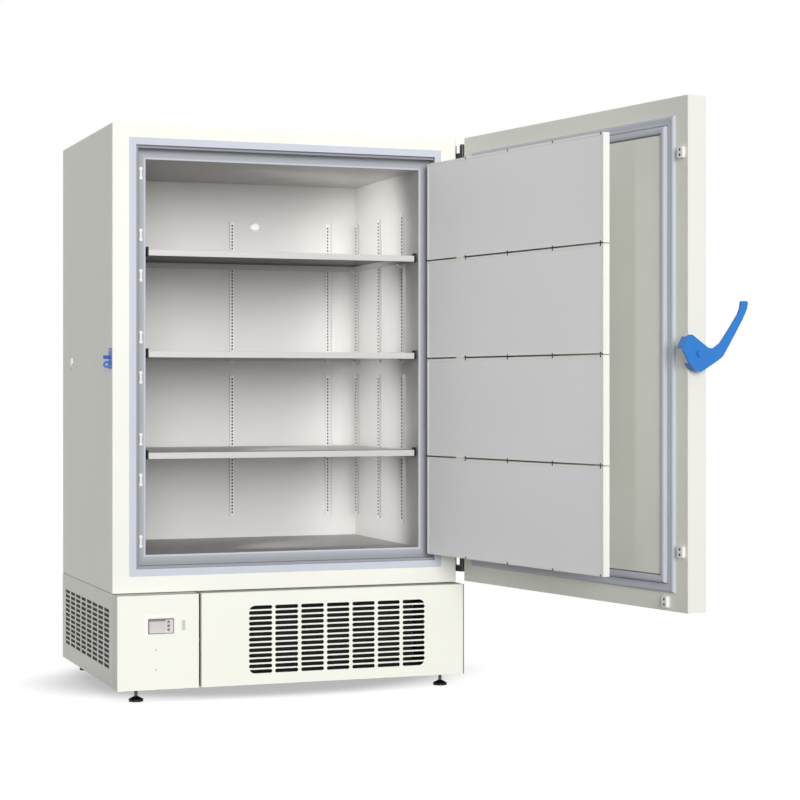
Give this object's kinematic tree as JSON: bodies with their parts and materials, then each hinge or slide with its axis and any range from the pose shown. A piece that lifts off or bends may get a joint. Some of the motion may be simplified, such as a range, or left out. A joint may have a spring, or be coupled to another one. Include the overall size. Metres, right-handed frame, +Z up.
{
  "type": "ultra low temperature freezer",
  "caption": "Upright ultra low temperature freezer with a thick hinged door, insulated inner doors, shelves, a lever handle and a slotted base over the machine compartment.",
  "frame": {"origin": "on the floor, below the middle of the bounding box with the doors open", "axes": "+X to the right of someone facing the front, +Y from front to back, +Z up"},
  "size_m": [1.7515, 2.1926, 1.966],
  "materials": {
    "cabinet_white": "smooth powder coat",
    "door_liner_grey": "smooth paint",
    "foam": "rigid foam",
    "stainless": "fine brushed",
    "breaker_blue_grey": "satin moulded",
    "gasket_blue_grey": "soft matt",
    "inner_door_grey": "smooth paint",
    "white_plastic": "satin moulded",
    "handle_blue": "gloss paint",
    "plated_steel": "zinc plated",
    "dark_steel": "black paint",
    "compressor_black": "black paint",
    "fin_aluminium": "mill finish",
    "filter_grey": "woven mesh",
    "black_plastic": "fine grain",
    "screen_glass": "clear hard coat",
    "key_grey": "soft touch",
    "caster_rubber": "matt"
  },
  "bodies": {
    "cabinet": {"air_filter": "filter_grey", "base_frame": "dark_steel", "base_left_panel": "cabinet_white", "base_rear_panel": "cabinet_white", "base_right_panel": "cabinet_white", "breaker_frame": "breaker_blue_grey", "compressor_high_stage": "compressor_black", "compressor_low_stage": "compressor_black", "condenser": "fin_aluminium", "control_box": "plated_steel", "control_panel": "cabinet_white", "display_bezel": "white_plastic", "display_screen": "screen_glass", "fan_motor": "dark_steel", "fan_shroud": "dark_steel", "hinge_brackets": "plated_steel", "inner_door_catches": "white_plastic", "inner_hinge_brackets": "plated_steel", "inner_hinge_rod": "plated_steel", "insulation": "foam", "levelling_feet": "plated_steel", "liner": "stainless", "outer_shell": "cabinet_white", "pilasters": "stainless", "port_caps": "white_plastic", "power_inlet": "black_plastic", "shelf_1": "stainless", "shelf_2": "stainless", "shelf_3": "stainless", "shelf_clips": "stainless", "strike": "handle_blue"},
    "main_door": {"door_outer_panel": "cabinet_white", "door_insulation": "foam", "door_inner_panel": "door_liner_grey", "door_gasket": "gasket_blue_grey", "door_hinge_arms": "plated_steel", "door_stop_blocks": "white_plastic", "handle_bracket": "handle_blue"},
    "handle": {"handle_lever": "handle_blue"},
    "grille": {"grille_door": "cabinet_white"},
    "fan": {"fan_blades": "black_plastic"},
    "inner_1": {"inner_door_1": "inner_door_grey", "inner_door_trim_1": "white_plastic"},
    "inner_2": {"inner_door_2": "inner_door_grey", "inner_door_trim_2": "white_plastic"},
    "inner_3": {"inner_door_3": "inner_door_grey", "inner_door_trim_3": "white_plastic"},
    "inner_4": {"inner_door_4": "inner_door_grey", "inner_door_trim_4": "white_plastic"},
    "key_1": {"button_1": "key_grey"},
    "key_2": {"button_2": "key_grey"},
    "key_3": {"button_3": "key_grey"},
    "fork_1": {"caster_fork_1": "plated_steel"},
    "wheel_1": {"caster_wheel_1": "caster_rubber"},
    "fork_2": {"caster_fork_2": "plated_steel"},
    "wheel_2": {"caster_wheel_2": "caster_rubber"},
    "fork_3": {"caster_fork_3": "plated_steel"},
    "wheel_3": {"caster_wheel_3": "caster_rubber"},
    "fork_4": {"caster_fork_4": "plated_steel"},
    "wheel_4": {"caster_wheel_4": "caster_rubber"}
  },
  "joints": [
    {"name": "main_door_hinge", "type": "hinge", "parent": "cabinet", "child": "main_door", "pos_m": [0.4291, 0.20186, 1.167], "axis": [0, 0, 1], "range_deg": [-100.7, 0]},
    {"name": "handle_turn", "type": "hinge", "parent": "main_door", "child": "handle", "pos_m": [0.68527, -1.08119, 1.169], "axis": [0.1857, -0.9826, 0], "range_deg": [0, 35]},
    {"name": "grille_hinge", "type": "hinge", "parent": "cabinet", "child": "grille", "pos_m": [0.4011, 0.15035, 0.202], "axis": [0, 0, 1], "range_deg": [0, 90]},
    {"name": "fan_spin", "type": "hinge", "parent": "cabinet", "child": "fan", "pos_m": [-0.0649, 0.30881, 0.196], "axis": [0, 1, 0], "continuous": true},
    {"name": "inner_door_1_hinge", "type": "hinge", "parent": "cabinet", "child": "inner_1", "pos_m": [0.3227, 0.23586, 1.69588], "axis": [0, 0, 1], "range_deg": [-100.35, 0]},
    {"name": "inner_door_2_hinge", "type": "hinge", "parent": "cabinet", "child": "inner_2", "pos_m": [0.3227, 0.23586, 1.34462], "axis": [0, 0, 1], "range_deg": [-100.35, 0]},
    {"name": "inner_door_3_hinge", "type": "hinge", "parent": "cabinet", "child": "inner_3", "pos_m": [0.3227, 0.23586, 0.99338], "axis": [0, 0, 1], "range_deg": [-100.35, 0]},
    {"name": "inner_door_4_hinge", "type": "hinge", "parent": "cabinet", "child": "inner_4", "pos_m": [0.3227, 0.23586, 0.64212], "axis": [0, 0, 1], "range_deg": [-100.35, 0]},
    {"name": "button_1_press", "type": "slide", "parent": "cabinet", "child": "key_1", "axis": [0, 1, 0], "range_m": [0, 0.0012], "stiffness_N_per_m": 400},
    {"name": "button_2_press", "type": "slide", "parent": "cabinet", "child": "key_2", "axis": [0, 1, 0], "range_m": [0, 0.0012], "stiffness_N_per_m": 400},
    {"name": "button_3_press", "type": "slide", "parent": "cabinet", "child": "key_3", "axis": [0, 1, 0], "range_m": [0, 0.0012], "stiffness_N_per_m": 400},
    {"name": "caster_1_swivel", "type": "hinge", "parent": "cabinet", "child": "fork_1", "pos_m": [-0.6419, 0.37735, 0.075], "axis": [0, 0, 1], "continuous": true},
    {"name": "caster_1_roll", "type": "hinge", "parent": "fork_1", "child": "wheel_1", "pos_m": [-0.6419, 0.39536, 0.028], "axis": [1, 0, 0], "continuous": true},
    {"name": "caster_2_swivel", "type": "hinge", "parent": "cabinet", "child": "fork_2", "pos_m": [0.2041, 0.37735, 0.075], "axis": [0, 0, 1], "continuous": true},
    {"name": "caster_2_roll", "type": "hinge", "parent": "fork_2", "child": "wheel_2", "pos_m": [0.2041, 0.39536, 0.028], "axis": [1, 0, 0], "continuous": true},
    {"name": "caster_3_swivel", "type": "hinge", "parent": "cabinet", "child": "fork_3", "pos_m": [-0.6419, 0.91836, 0.075], "axis": [0, 0, 1], "continuous": true},
    {"name": "caster_3_roll", "type": "hinge", "parent": "fork_3", "child": "wheel_3", "pos_m": [-0.6419, 0.93636, 0.028], "axis": [1, 0, 0], "continuous": true},
    {"name": "caster_4_swivel", "type": "hinge", "parent": "cabinet", "child": "fork_4", "pos_m": [0.2041, 0.91836, 0.075], "axis": [0, 0, 1], "continuous": true},
    {"name": "caster_4_roll", "type": "hinge", "parent": "fork_4", "child": "wheel_4", "pos_m": [0.2041, 0.93636, 0.028], "axis": [1, 0, 0], "continuous": true}
  ],
  "couplings": [
    {"joint": "inner_door_1_hinge", "follows": "main_door_hinge", "ratio": 0.99603},
    {"joint": "inner_door_2_hinge", "follows": "main_door_hinge", "ratio": 0.99603},
    {"joint": "inner_door_3_hinge", "follows": "main_door_hinge", "ratio": 0.99603},
    {"joint": "inner_door_4_hinge", "follows": "main_door_hinge", "ratio": 0.99603}
  ]
}
